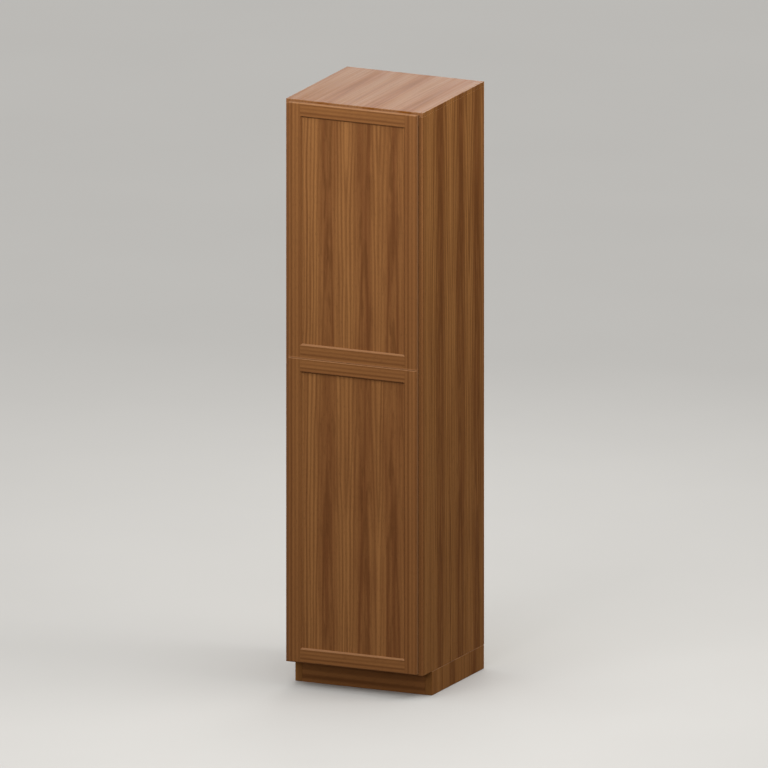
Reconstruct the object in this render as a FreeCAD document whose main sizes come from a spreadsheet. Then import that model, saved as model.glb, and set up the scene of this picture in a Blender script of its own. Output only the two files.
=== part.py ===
import FreeCAD, Part
import os
import re
import Sketcher

# Tall two-door broom cupboard. Millimetres, +Z up, the doors face -Y.
# The origin is on the floor under the middle of the closed cupboard.

SIZES = {
    # whole cupboard
    "cabinet_width": 608.0,
    "cabinet_height": 2440.0,
    "box_depth": 592.0,
    "edge_ease": 0.6,
    # plinth
    "plinth_height": 101.0,
    "toe_recess": 88.0,
    "plinth_side_thickness": 32.0,
    "plinth_board_thickness": 18.0,
    "plinth_ease": 2.0,
    # box boards
    "board_thickness": 18.0,
    "dado_depth": 6.0,
    "back_thickness": 6.0,
    "hanging_rail_thickness": 18.0,
    "hanging_rail_height": 90.0,
    "wall_hole_radius": 2.5,
    "wall_hole_spacing": 406.4,
    # face frame
    "frame_thickness": 19.0,
    "frame_stile_width": 38.0,
    "frame_rail_height": 38.0,
    "dowel_radius": 4.0,
    "dowel_length": 40.0,
    "dowel_spacing": 20.0,
    # adjustable shelves
    "shelf_side_clearance": 1.5,
    "shelf_front_setback": 22.0,
    "shelf_back_clearance": 3.0,
    "shelf_pin_radius": 2.5,
    "shelf_pin_insert": 10.0,
    "shelf_pin_reach": 9.0,
    "shelf_pin_collar_radius": 3.5,
    "pin_row_setback": 60.0,
    "pin_hole_pitch": 32.0,
    # doors
    "side_reveal": 19.0,
    "top_reveal": 8.0,
    "bottom_reveal": 8.0,
    "door_gap": 1.5,
    "door_standoff": 3.0,
    "lower_door_height": 1262.25,
    "door_flat": 53.0,
    "bevel_width": 6.0,
    "bevel_land": 2.0,
    "panel_recess": 10.0,
    "panel_thickness": 6.4,
    "back_lip": 2.6,
    "groove_depth": 9.0,
    "panel_play": 1.0,
    "door_edge_ease": 3.0,
    "bumper_radius": 4.0,
    "bumper_inset": 12.0,
    "bumper_end_inset": 60.0,
    "bumper_clearance": 0.3,
    "bumper_round": 1.2,
    # hinges
    "hinge_end_inset": 100.0,
    "cup_radius": 17.5,
    "cup_edge_distance": 3.0,
    "cup_depth": 12.5,
    "cup_clearance": 0.1,
    "cup_wall": 1.0,
    "cup_floor": 0.8,
    "wing_thickness": 1.0,
    "wing_width": 11.0,
    "wing_end_margin": 5.5,
    "corner_radius": 3.0,
    "cup_screw_spacing": 45.0,
    "cup_screw_offset": 9.5,
    "cup_screw_radius": 1.75,
    "cup_screw_length": 11.0,
    "screw_head_radius": 3.4,
    "screw_head_height": 1.6,
    "screw_head_round": 1.0,
    "recess_half_length": 1.9,
    "recess_half_width": 0.45,
    "recess_depth": 0.9,
    "pivot_depth": 7.5,
    "pivot_pin_radius": 1.0,
    "pivot_pin_cover": 0.25,
    "pivot_clearance": 0.05,
    "eye_radius": 2.0,
    "eye_clearance": 0.3,
    "arm_thickness": 2.0,
    "arm_width": 8.0,
    "arm_back_margin": 2.0,
    "arm_bend_radius": 3.0,
    "plate_thickness": 1.5,
    "plate_height": 40.0,
    "plate_margin": 1.5,
    "plate_screw_spacing": 28.0,
    "plate_screw_radius": 1.75,
    "plate_screw_length": 16.0,
}

HINGES_PER_DOOR = 3
HOLES_PER_PIN_GROUP = 5
LOOSE_SHELVES = 2

DERIVED = {
    # planes of the whole cupboard
    "half_width": "cabinet_width / 2",
    "door_thickness": "panel_recess + panel_thickness + back_lip",
    "front_y": "-(box_depth + door_standoff + door_thickness) / 2",
    "door_back_y": "front_y + door_thickness",
    "face_y": "door_back_y + door_standoff",
    "frame_back_y": "face_y + frame_thickness",
    "back_y": "face_y + box_depth",
    "rail_front_y": "back_y - hanging_rail_thickness",
    "back_panel_y": "rail_front_y - back_thickness",
    "top_z": "cabinet_height - board_thickness",
    "side_height": "top_z - plinth_height",
    "side_depth": "back_y - frame_back_y",
    "inner_half": "half_width - board_thickness",
    "inner_width": "cabinet_width - 2 * board_thickness",
    "inner_depth": "back_panel_y - frame_back_y",
    "housed_width": "inner_width + 2 * dado_depth",
    # plinth
    "toe_y": "face_y + toe_recess",
    "plinth_depth": "back_y - toe_y",
    "plinth_inner_half": "half_width - plinth_side_thickness",
    "plinth_inner_width": "cabinet_width - 2 * plinth_side_thickness",
    # levels
    "deck_z": "plinth_height + frame_rail_height - board_thickness",
    "lower_door_z": "plinth_height + bottom_reveal",
    "upper_door_z": "lower_door_z + lower_door_height + door_gap",
    "upper_door_height": "cabinet_height - top_reveal - upper_door_z",
    "split_z": "upper_door_z - door_gap / 2",
    "middle_rail_z": "split_z - frame_rail_height / 2",
    "middle_shelf_z": "middle_rail_z + frame_rail_height - board_thickness",
    "upper_space_z": "middle_shelf_z + board_thickness",
    "shelf_spacing":
        f"(top_z - upper_space_z - {LOOSE_SHELVES} * board_thickness) / {LOOSE_SHELVES + 1}",
    "lower_shelf_z": "upper_space_z + shelf_spacing",
    "upper_shelf_z": "lower_shelf_z + board_thickness + shelf_spacing",
    # face frame
    "frame_inner_half": "half_width - frame_stile_width",
    "frame_inner_width": "cabinet_width - 2 * frame_stile_width",
    "dowel_y": "frame_thickness / 2",
    "top_rail_z": "top_z - frame_rail_height",
    # shelves
    "front_pin_y": "frame_back_y + pin_row_setback",
    "back_pin_y": "back_panel_y - pin_row_setback",
    "shelf_y": "frame_back_y + shelf_front_setback",
    "pin_group_length": f"{HOLES_PER_PIN_GROUP - 1} * pin_hole_pitch",
    # doors
    "door_width": "cabinet_width - 2 * side_reveal",
    "door_half": "door_width / 2",
    "stile_width": "door_flat + bevel_width",
    "groove_bottom": "stile_width - groove_depth",
    "bevel_depth": "panel_recess - bevel_land",
    "panel_back": "panel_recess + panel_thickness",
    "rail_length": "door_width - 2 * groove_bottom",
    "panel_inset": "groove_bottom + panel_play",
    "bumper_thickness": "door_standoff - bumper_clearance",
    # hinges
    "cup_centre": "cup_edge_distance + cup_radius",
    "cup_x": "-door_half + cup_centre",
    "cup_shell_radius": "cup_radius - cup_clearance",
    "cup_inner_radius": "cup_shell_radius - cup_wall",
    "cup_cavity_depth": "cup_depth - cup_floor",
    "wing_half_height": "cup_screw_spacing / 2 + wing_end_margin",
    "pivot_offset": "sqrt(cup_inner_radius^2 - (arm_width / 2)^2) - eye_radius - eye_clearance",
    "pin_outer_edge": "pivot_offset + pivot_pin_radius",
    "pivot_pin_half": "sqrt(cup_shell_radius^2 - pin_outer_edge^2) - pivot_pin_cover",
    "pivot_x": "cup_x - pivot_offset",
    "pivot_y": "door_back_y - pivot_depth",
    "arm_near": "-frame_inner_half + plate_thickness - pivot_x",
    "arm_far": "arm_near + arm_thickness",
    "arm_back": "frame_back_y - arm_back_margin - pivot_y",
    "plate_depth": "frame_thickness - 2 * plate_margin",
    "plate_middle": "frame_thickness / 2",
    "arm_screw_y": "face_y + plate_middle - pivot_y",
    "plate_screw_grip": "plate_screw_length - plate_thickness",
}

FUNCTIONS = ("sqrt",)
SAME_PLACE = 1e-6
DOC = FreeCAD.newDocument("broom_cupboard")
PARTS = {}


def expand(text):
    """Turns a formula in plain names into one that points at the sheet."""
    def replace(match):
        name = match.group()
        if name in FUNCTIONS:
            return name
        if name in DERIVED:
            return f"({expand(DERIVED[name])})"
        return f"Sizes.{name}"
    return re.sub(r"[a-z]\w*", replace, str(text))


def make_sheet():
    """Fills the sheet with one named size per row."""
    sheet = DOC.addObject("Spreadsheet::Sheet", "Sizes")
    for row, (alias, size) in enumerate(SIZES.items(), start=1):
        sheet.set(f"A{row}", alias)
        sheet.set(f"B{row}", str(size))
        sheet.setAlias(f"B{row}", alias)
    DOC.recompute()
    return sheet


SHEET = make_sheet()


def value(text):
    """The present number of a formula."""
    return float(SHEET.evalExpression(expand(text)))


def bind(feature, **formulas):
    """Binds properties of a feature to formulas."""
    for name, text in formulas.items():
        feature.setExpression(name, expand(text))


def place(feature, x, y, z):
    """Binds the position of a feature."""
    for axis, text in zip("xyz", (x, y, z)):
        feature.setExpression(f"Placement.Base.{axis}", expand(text))


def new_body(label, x=0, y=0, z=0, keep=True):
    """An empty body with its own place; kept ones are written out."""
    body = DOC.addObject("PartDesign::Body", label)
    body.Label = label
    place(body, x, y, z)
    if keep:
        PARTS[label] = body
    return body


def origin_item(body, role):
    """A plane or axis of the body's own origin."""
    return next(item for item in body.Origin.OriginFeatures if item.Role == role)


def block(body, kind, size, low=(0, 0, 0)):
    """Adds or takes away a rectangular block inside a body."""
    feature = body.newObject(f"PartDesign::{kind}Box", f"{body.Label}_{kind}")
    bind(feature, Length=size[0], Width=size[1], Height=size[2])
    place(feature, *low)
    return feature


def board(label, size, low, ease="edge_ease"):
    """A rectangular board with all its edges eased."""
    body = new_body(label, *low)
    blank = block(body, "Additive", size)
    DOC.recompute()
    chamfer = body.newObject("PartDesign::Chamfer", f"{label}_ease")
    chamfer.Base = (blank, [])
    chamfer.UseAllEdges = True
    bind(chamfer, Size=ease)
    return body


def sketch_on(body, role, offset=0):
    """An empty sketch on one of the body's planes, moved along its normal."""
    sketch = body.newObject("Sketcher::SketchObject", f"{body.Label}_sketch")
    sketch.AttachmentSupport = [(origin_item(body, role), "")]
    sketch.MapMode = "FlatFace"
    sketch.setExpression("AttachmentOffset.Base.z", expand(offset))
    return sketch


def fix_point(sketch, geometry, position, name, point):
    """Ties one point of the sketch to its two formulas."""
    for kind, text in zip(("DistanceX", "DistanceY"), point):
        index = sketch.addConstraint(
            Sketcher.Constraint(kind, -1, 1, geometry, position, value(text)))
        label = f"{name}_{kind}"
        sketch.renameConstraint(index, label)
        sketch.setExpression(f"Constraints.{label}", expand(text))


def polygon(body, role, points, offset=0):
    """A closed outline through the given points."""
    sketch = sketch_on(body, role, offset)
    corners = [FreeCAD.Vector(value(x), value(y), 0) for x, y in points]
    count = len(corners)
    for index in range(count):
        line = Part.LineSegment(corners[index], corners[(index + 1) % count])
        sketch.addGeometry(line, False)
    for index in range(count):
        joint = Sketcher.Constraint("Coincident", index, 2, (index + 1) % count, 1)
        sketch.addConstraint(joint)
    for index, point in enumerate(points):
        fix_point(sketch, index, 1, f"corner{index}", point)
    return sketch


def rectangle(body, role, low, high, offset=0):
    """An upright rectangle between two corners."""
    corners = [low, (high[0], low[1]), high, (low[0], high[1])]
    return polygon(body, role, corners, offset)


def circles(body, role, radius, centres, offset=0):
    """Equal circles at the given centres."""
    sketch = sketch_on(body, role, offset)
    for index, (x, y) in enumerate(centres):
        centre = FreeCAD.Vector(value(x), value(y), 0)
        ring = Part.Circle(centre, FreeCAD.Vector(0, 0, 1), value(radius))
        sketch.addGeometry(ring, False)
        fix_point(sketch, index, 3, f"centre{index}", (x, y))
        number = sketch.addConstraint(Sketcher.Constraint("Radius", index, value(radius)))
        sketch.renameConstraint(number, f"radius{index}")
        sketch.setExpression(f"Constraints.radius{index}", expand(radius))
    return sketch


def feature_of(body, kind, sketch, length, back=False, both=False):
    """A pad or pocket of a sketch; both means half to each side."""
    DOC.recompute()
    feature = body.newObject(f"PartDesign::{kind}", f"{body.Label}_{kind}")
    feature.Profile = sketch
    bind(feature, Length=length)
    feature.Reversed = back
    if both:
        feature.SideType = "Symmetric"
    return feature


def pad(body, sketch, length, back=False, both=False):
    """Material raised from a sketch."""
    return feature_of(body, "Pad", sketch, length, back, both)


def pocket(body, sketch, length, back=False, both=False):
    """Material taken away from a sketch; it has to meet the body."""
    DOC.recompute()
    before = body.Shape.Volume
    feature = feature_of(body, "Pocket", sketch, length, back, both)
    DOC.recompute()
    if body.Shape.Volume >= before:
        raise RuntimeError(f"{feature.Label} takes nothing away")
    return feature


def repeat_up(body, length, count, originals=None):
    """Repeats features, or the whole body, upwards along Z."""
    DOC.recompute()
    pattern = body.newObject("PartDesign::LinearPattern", f"{body.Label}_row")
    if originals:
        pattern.Originals = originals
    else:
        pattern.TransformMode = "Whole shape"
    pattern.Direction = (origin_item(body, "Z_Axis"), [""])
    bind(pattern, Length=length)
    pattern.Occurrences = count
    body.Tip = pattern
    return pattern


def dress_edges(body, feature, kind, chosen, **size):
    """Adds a fillet or chamfer of a size on the edges of a feature that the test chooses."""
    DOC.recompute()
    edges = enumerate(feature.Shape.Edges, start=1)
    dressed = body.newObject(f"PartDesign::{kind}", f"{body.Label}_{kind}")
    dressed.Base = (feature, [f"Edge{number}" for number, edge in edges if chosen(edge)])
    bind(dressed, **size)
    return dressed


def is_corner(axis, length):
    """A test for straight edges of one length along one axis."""
    span = value(length)
    way = FreeCAD.Vector(*(1.0 if name == axis else 0.0 for name in "xyz"))

    def chosen(edge):
        start, end = edge.firstVertex().Point, edge.lastVertex().Point
        return abs(abs((end - start).dot(way)) - span) < SAME_PLACE
    return chosen


def lies_at(axis, level):
    """A test for edges that lie at one level of one axis."""
    height = value(level)
    return lambda edge: abs(getattr(edge.CenterOfMass, axis) - height) < SAME_PLACE


def cross_recess(body, role, centre, offset, back):
    """A cross-shaped driver recess in the top of a screw head."""
    long, short = "recess_half_length", "recess_half_width"
    outline = [
        (long, short), (short, short), (short, long),
        (f"-{short}", long), (f"-{short}", short), (f"-{long}", short),
        (f"-{long}", f"-{short}"), (f"-{short}", f"-{short}"), (f"-{short}", f"-{long}"),
        (short, f"-{long}"), (short, f"-{short}"), (long, f"-{short}"),
    ]
    points = [(f"{centre[0]} + {x}", f"{centre[1]} + {y}") for x, y in outline]
    pocket(body, polygon(body, role, points, offset), "recess_depth", back=back)


def make_plinth():
    """The recessed base: two sides with the toe board and two rails between them."""
    sides = {"plinth_left_side": "-half_width", "plinth_right_side": "plinth_inner_half"}
    for label, x in sides.items():
        board(label, ("plinth_side_thickness", "plinth_depth", "plinth_height"),
              (x, "toe_y", 0), "plinth_ease")
    fronts = {
        "toe_kick_board": "toe_y",
        "plinth_stretcher": "toe_y + plinth_depth / 2",
        "plinth_back_rail": "back_y - plinth_board_thickness",
    }
    for label, y in fronts.items():
        board(label, ("plinth_inner_width", "plinth_board_thickness", "plinth_height"),
              ("-plinth_inner_half", y, 0))


def make_side(label, x, inner, groove_x):
    """A side board, housed for the deck, the middle shelf and the back, and drilled for pins.

    inner is the board's inner face and groove_x the near edge of its housings, both from x.
    """
    body = board(label, ("board_thickness", "side_depth", "side_height"),
                 (x, "frame_back_y", "plinth_height"))
    for level in ("deck_z", "middle_shelf_z"):
        block(body, "Subtractive", ("dado_depth", "inner_depth", "board_thickness"),
              (groove_x, 0, f"{level} - plinth_height"))
    block(body, "Subtractive", ("dado_depth", "back_thickness", "side_height"),
          (groove_x, "inner_depth", 0))
    rows = ("pin_row_setback", "inner_depth - pin_row_setback")
    for shelf in ("lower_shelf_z", "upper_shelf_z"):
        first = f"{shelf} - shelf_pin_collar_radius - plinth_height - pin_group_length / 2"
        holes = circles(body, "YZ_Plane", "shelf_pin_radius", [(y, first) for y in rows], inner)
        cut = pocket(body, holes, "shelf_pin_insert", back=(inner == 0))
        repeat_up(body, "pin_group_length", HOLES_PER_PIN_GROUP, [cut])


def make_box():
    """Sides, top, deck, middle shelf, back and the hanging rails behind it."""
    make_side("left_side_panel", "-half_width", "board_thickness", "board_thickness - dado_depth")
    make_side("right_side_panel", "inner_half", 0, 0)
    board("top_panel", ("cabinet_width", "box_depth", "board_thickness"),
          ("-half_width", "face_y", "top_z"))
    for label, level in (("deck_panel", "deck_z"), ("middle_shelf", "middle_shelf_z")):
        board(label, ("housed_width", "inner_depth", "board_thickness"),
              ("-housed_width / 2", "frame_back_y", level))
    fixing_z = "top_z - hanging_rail_height / 2"
    back = board("back_panel", ("housed_width", "back_thickness", "side_height"),
                 ("-housed_width / 2", "back_panel_y", "plinth_height"))
    drill_wall_holes(back, "housed_width / 2", f"{fixing_z} - plinth_height", "back_thickness")
    rails = {
        "bottom_hanging_rail": "plinth_height",
        "middle_hanging_rail": "split_z - hanging_rail_height / 2",
        "top_hanging_rail": "top_z - hanging_rail_height",
    }
    for label, level in rails.items():
        rail = board(label, ("inner_width", "hanging_rail_thickness", "hanging_rail_height"),
                     ("-inner_half", "rail_front_y", level))
        if label == "top_hanging_rail":
            drill_wall_holes(rail, "inner_half", "hanging_rail_height / 2", "hanging_rail_thickness")


def drill_wall_holes(body, middle, height, depth):
    """The two wall screw holes, drilled from front to back."""
    centres = [(f"{middle} {sign} wall_hole_spacing / 2", height) for sign in "-+"]
    pocket(body, circles(body, "XZ_Plane", "wall_hole_radius", centres), depth)


def dowel_levels(level):
    """Heights of the two dowels in a rail that starts at a level."""
    return [f"{level} + frame_rail_height / 2 {sign} dowel_spacing / 2" for sign in "-+"]


def make_face_frame():
    """Two stiles and three rails, dowelled together."""
    rails = {
        "frame_bottom_rail": "plinth_height",
        "frame_middle_rail": "middle_rail_z",
        "frame_top_rail": "top_rail_z",
    }
    depth = "dowel_length / 2"
    stile_size = ("frame_stile_width", "frame_thickness", "side_height")
    left = board("frame_left_stile", stile_size, ("-half_width", "face_y", "plinth_height"))
    right = board("frame_right_stile", stile_size, ("frame_inner_half", "face_y", "plinth_height"))
    dowels = new_body("frame_dowels", "-frame_inner_half", "face_y")
    holes = [("dowel_y", z) for level in rails.values() for z in dowel_levels(level)]
    sunk = [(y, f"{z} - plinth_height") for y, z in holes]
    pocket(left, circles(left, "YZ_Plane", "dowel_radius", sunk, "frame_stile_width"), depth)
    pocket(right, circles(right, "YZ_Plane", "dowel_radius", sunk), depth, back=True)
    for x in (0, "frame_inner_width"):
        pad(dowels, circles(dowels, "YZ_Plane", "dowel_radius", holes, x), "dowel_length", both=True)
    for label, level in rails.items():
        rail = board(label, ("frame_inner_width", "frame_thickness", "frame_rail_height"),
                     ("-frame_inner_half", "face_y", level))
        ends = [("dowel_y", z) for z in dowel_levels(0)]
        pocket(rail, circles(rail, "YZ_Plane", "dowel_radius", ends), depth, back=True)
        pocket(rail, circles(rail, "YZ_Plane", "dowel_radius", ends, "frame_inner_width"), depth)
    return left


def make_shelves():
    """Two loose shelves on eight pins in the upper space."""
    pins = new_body("shelf_pins")
    spots = []
    for label, level in (("lower_loose_shelf", "lower_shelf_z"), ("upper_loose_shelf", "upper_shelf_z")):
        board(label, ("inner_width - 2 * shelf_side_clearance",
                      "inner_depth - shelf_front_setback - shelf_back_clearance", "board_thickness"),
              ("-inner_half + shelf_side_clearance", "shelf_y", level))
        spots += [(y, f"{level} - shelf_pin_collar_radius") for y in ("front_pin_y", "back_pin_y")]
    for wall, inward in (("-inner_half", False), ("inner_half", True)):
        collar = circles(pins, "YZ_Plane", "shelf_pin_collar_radius", spots, wall)
        pad(pins, collar, "shelf_pin_reach", back=inward)
        shank = circles(pins, "YZ_Plane", "shelf_pin_radius", spots, wall)
        pad(pins, shank, "shelf_pin_insert", back=not inward)


def moulding(sign):
    """Section of a door frame member: distances inwards from its outer edge and back from its front.

    sign is "" where inwards is the positive way and "-" where it is the negative way.
    """
    corners = [
        (0, 0),
        ("door_flat", 0),
        ("stile_width", "bevel_depth"),
        ("stile_width", "panel_recess"),
        ("groove_bottom", "panel_recess"),
        ("groove_bottom", "panel_back"),
        ("stile_width", "panel_back"),
        ("stile_width", "door_thickness"),
        (0, "door_thickness"),
    ]
    return [(f"{sign}({inward})", back) for inward, back in corners]


def above_and_below(across, middle, spacing):
    """Two places one above the other, at equal distances from a middle height."""
    return [(across, f"{middle} {sign} {spacing} / 2") for sign in "-+"]


def make_outline(name, level, height):
    """The outer form of a door, with its front top and side edges eased more than the others."""
    outline = new_body(f"{name}_door_outline", "-door_half", "front_y", level, keep=False)
    blank = block(outline, "Additive", ("door_width", "door_thickness", height))
    at_front, at_back, at_foot = lies_at("y", 0), lies_at("y", "door_thickness"), lies_at("z", 0)
    broad = dress_edges(outline, blank, "Chamfer",
                        lambda edge: at_front(edge) and not at_foot(edge), Size="door_edge_ease")
    dress_edges(outline, broad, "Chamfer",
                lambda edge: at_back(edge) or (at_front(edge) and at_foot(edge)), Size="edge_ease")
    return outline


def ease_member(label, member, outline):
    """Keeps what lies of a door member inside the eased outline of the door."""
    eased = DOC.addObject("Part::Common", label)
    eased.Base = member
    eased.Tool = outline
    eased.Label = label
    PARTS[label] = eased


def make_stile(label, x, sign, level, height):
    """An upright of a door frame, before its ends and outer edges are eased."""
    stile = new_body(label, x, "front_y", level, keep=False)
    pad(stile, polygon(stile, "XY_Plane", moulding(sign)), height)
    return stile


def bore_for_hinges(stile, row):
    """Blind cup bores and screw pilots in the back of the hinge stile."""
    back_face = "-door_thickness"
    centre = [("cup_centre", "hinge_end_inset")]
    mouth = circles(stile, "XZ_Plane", "cup_radius", centre, back_face)
    bore = pocket(stile, mouth, "cup_depth", back=True)
    spots = above_and_below("cup_centre + cup_screw_offset", "hinge_end_inset", "cup_screw_spacing")
    pilots = circles(stile, "XZ_Plane", "cup_screw_radius", spots, back_face)
    drilled = pocket(stile, pilots, "cup_screw_length - wing_thickness", back=True)
    repeat_up(stile, row, HINGES_PER_DOOR, [bore, drilled])


def make_rail(label, level, sign, stiles):
    """A crosspiece of a door frame, coped to both stiles, with stub tenons in their grooves."""
    rail = new_body(label, "-door_half + groove_bottom", "front_y", level, keep=False)
    section = [(back, inward) for inward, back in moulding(sign)]
    pad(rail, polygon(rail, "YZ_Plane", section), "rail_length")
    for stile in stiles:
        coped = DOC.addObject("Part::Cut", f"{label}_coped")
        coped.Base = rail
        coped.Tool = stile
        rail = coped
    return rail


def make_bumpers(name, level, height):
    """Two soft discs near the free edge, on the back of the door."""
    bumpers = new_body(f"{name}_door_bumpers", "door_half - bumper_inset", "door_back_y", level)
    ends = [(0, "bumper_end_inset"), (0, f"{height} - bumper_end_inset")]
    discs = circles(bumpers, "XZ_Plane", "bumper_radius", ends)
    raised = pad(bumpers, discs, "bumper_thickness", back=True)
    dress_edges(bumpers, raised, "Fillet", lies_at("y", "bumper_thickness"), Radius="bumper_round")


def make_door(name, level, height, row):
    """A framed door: two stiles, two rails, a flat panel and two bumpers."""
    hinge_stile = make_stile(f"{name}_hinge_stile_blank", "-door_half", "", level, height)
    free_stile = make_stile(f"{name}_free_stile_blank", "door_half", "-", level, height)
    bore_for_hinges(hinge_stile, row)
    stiles = (hinge_stile, free_stile)
    members = {
        "hinge_stile": hinge_stile,
        "free_stile": free_stile,
        "bottom_rail": make_rail(f"{name}_bottom_rail_blank", level, "", stiles),
        "top_rail": make_rail(f"{name}_top_rail_blank", f"{level} + {height}", "-", stiles),
    }
    outline = make_outline(name, level, height)
    for part, member in members.items():
        ease_member(f"{name}_door_{part}", member, outline)
    board(f"{name}_door_panel",
          ("door_width - 2 * panel_inset", "panel_thickness", f"{height} - 2 * panel_inset"),
          ("-door_half + panel_inset", "front_y + panel_recess", f"{level} + panel_inset"))
    make_bumpers(name, level, height)


def make_cups(name, first, row, screws):
    """Hinge cups sunk in the door, each with a screwed wing and a seat for its pin."""
    cups = new_body(f"{name}_hinge_cups", "cup_x", "door_back_y", first)
    pad(cups, circles(cups, "XZ_Plane", "cup_shell_radius", [(0, 0)]), "cup_depth")
    low = ("cup_screw_offset - wing_width / 2", "-wing_half_height")
    high = ("cup_screw_offset + wing_width / 2", "wing_half_height")
    wing = pad(cups, rectangle(cups, "XZ_Plane", low, high), "wing_thickness", back=True)
    dress_edges(cups, wing, "Fillet", is_corner("y", "wing_thickness"), Radius="corner_radius")
    mouth = circles(cups, "XZ_Plane", "cup_inner_radius", [(0, 0)], "-wing_thickness")
    pocket(cups, mouth, "wing_thickness + cup_cavity_depth", back=True)
    holes = circles(cups, "XZ_Plane", "cup_screw_radius", screws, "-wing_thickness")
    pocket(cups, holes, "wing_thickness", back=True)
    seat = circles(cups, "XY_Plane", "pivot_pin_radius", [("-pivot_offset", "-pivot_depth")])
    pocket(cups, seat, "2 * pivot_pin_half", both=True)
    repeat_up(cups, row, HINGES_PER_DOOR)


def make_cup_screws(name, first, row, screws):
    """Screws through the wings into the door."""
    body = new_body(f"{name}_hinge_cup_screws", "cup_x", "door_back_y + wing_thickness", first)
    pad(body, circles(body, "XZ_Plane", "cup_screw_radius", screws), "cup_screw_length")
    heads = circles(body, "XZ_Plane", "screw_head_radius", screws)
    raised = pad(body, heads, "screw_head_height", back=True)
    dress_edges(body, raised, "Fillet", lies_at("y", "screw_head_height"), Radius="screw_head_round")
    for spot in screws:
        cross_recess(body, "XZ_Plane", spot, "-screw_head_height", back=True)
    repeat_up(body, row, HINGES_PER_DOOR)


def make_pins(name, first, row):
    """Pivot pins, held at both ends in the walls of the cups."""
    pins = new_body(f"{name}_hinge_pins", "pivot_x", "pivot_y", first)
    pad(pins, circles(pins, "XY_Plane", "pivot_pin_radius", [(0, 0)]), "2 * pivot_pin_half", both=True)
    repeat_up(pins, row, HINGES_PER_DOOR)


def make_arms(name, first, row):
    """Cranked arms from an eye round the pin, out of the cup and back along the face frame."""
    arms = new_body(f"{name}_hinge_arms", "pivot_x", "pivot_y", first)
    crank = [
        (0, "-arm_thickness"),
        ("arm_far", "-arm_thickness"),
        ("arm_far", "arm_back"),
        ("arm_near", "arm_back"),
        ("arm_near", 0),
        (0, 0),
    ]
    strip = pad(arms, polygon(arms, "XY_Plane", crank), "arm_width", both=True)
    elbow = FreeCAD.Vector(value("arm_far"), value("-arm_thickness"), 0)
    dress_edges(arms, strip, "Fillet", lambda edge: edge.CenterOfMass.isEqual(elbow, SAME_PLACE),
                Radius="arm_bend_radius")
    pad(arms, circles(arms, "XY_Plane", "eye_radius", [(0, 0)]), "arm_width", both=True)
    eye = circles(arms, "XY_Plane", "pivot_pin_radius + pivot_clearance", [(0, 0)])
    pocket(arms, eye, "arm_width", both=True)
    hole = circles(arms, "YZ_Plane", "plate_screw_radius", [("arm_screw_y", 0)], "arm_far")
    pocket(arms, hole, "arm_thickness")
    repeat_up(arms, row, HINGES_PER_DOOR)


def make_plates(name, first, row, screws):
    """Flat plates on the inner edge of the face frame, under the arms."""
    plates = new_body(f"{name}_hinge_plates", "-frame_inner_half", "face_y", first)
    low = ("plate_margin", "-plate_height / 2")
    high = ("plate_margin + plate_depth", "plate_height / 2")
    flat = pad(plates, rectangle(plates, "YZ_Plane", low, high), "plate_thickness")
    dress_edges(plates, flat, "Fillet", is_corner("x", "plate_thickness"), Radius="corner_radius")
    holes = circles(plates, "YZ_Plane", "plate_screw_radius", screws, "plate_thickness")
    pocket(plates, holes, "plate_thickness")
    repeat_up(plates, row, HINGES_PER_DOOR)


def make_plate_screws(name, first, row, plate_spots, arm_spots):
    """Screws through the plates, and longer ones through arm and plate, into the face frame."""
    body = new_body(
        f"{name}_hinge_plate_screws", "-frame_inner_half + plate_thickness", "face_y", first)
    for spots, seat in ((plate_spots, 0), (arm_spots, "arm_thickness")):
        top = f"{seat} + screw_head_height"
        shanks = circles(body, "YZ_Plane", "plate_screw_radius", spots, seat)
        pad(body, shanks, f"plate_screw_length + {seat}", back=True)
        heads = circles(body, "YZ_Plane", "screw_head_radius", spots, seat)
        raised = pad(body, heads, "screw_head_height")
        dress_edges(body, raised, "Fillet", lies_at("x", top), Radius="screw_head_round")
        for spot in spots:
            cross_recess(body, "YZ_Plane", spot, top, back=False)
    repeat_up(body, row, HINGES_PER_DOOR)


def make_hinges(name, level, row, frame_stile):
    """Concealed hinges: cups and pins in the door, arms and plates on the face frame."""
    first = f"{level} + hinge_end_inset"
    cup_spots = above_and_below("cup_screw_offset", 0, "cup_screw_spacing")
    plate_spots = above_and_below("plate_middle", 0, "plate_screw_spacing")
    arm_spots = [("plate_middle", 0)]
    make_cups(name, first, row, cup_spots)
    make_cup_screws(name, first, row, cup_spots)
    make_pins(name, first, row)
    make_arms(name, first, row)
    make_plates(name, first, row, plate_spots + arm_spots)
    make_plate_screws(name, first, row, plate_spots, arm_spots)
    lifted = [(y, f"{first} - plinth_height + {z}") for y, z in plate_spots + arm_spots]
    pilots = circles(frame_stile, "YZ_Plane", "plate_screw_radius", lifted, "frame_stile_width")
    drilled = pocket(frame_stile, pilots, "plate_screw_grip")
    repeat_up(frame_stile, row, HINGES_PER_DOOR, [drilled])


def write_parts():
    """Checks every object of the document and writes one file per part."""
    DOC.recompute()
    for item in DOC.Objects:
        if "Invalid" in item.State or "Error" in item.State:
            raise RuntimeError(f"{item.Label} could not be built: {item.State}")
    os.makedirs("parts", exist_ok=True)
    for label, item in PARTS.items():
        shape = item.Shape
        if shape.isNull() or not shape.isValid() or not shape.Solids:
            raise RuntimeError(f"{label} has no sound solid")
        shape.exportStep(f"parts/{label}.step")
        print(f"{label}: {len(shape.Solids)} solids, {shape.Volume / 1000.0:.1f} cm3")


make_plinth()
make_box()
hinge_side = make_face_frame()
make_shelves()
for door, bottom, tall in (("lower", "lower_door_z", "lower_door_height"),
                           ("upper", "upper_door_z", "upper_door_height")):
    hinge_row = f"{tall} - 2 * hinge_end_inset"
    make_door(door, bottom, tall, hinge_row)
    make_hinges(door, bottom, hinge_row, hinge_side)
write_parts()
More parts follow.
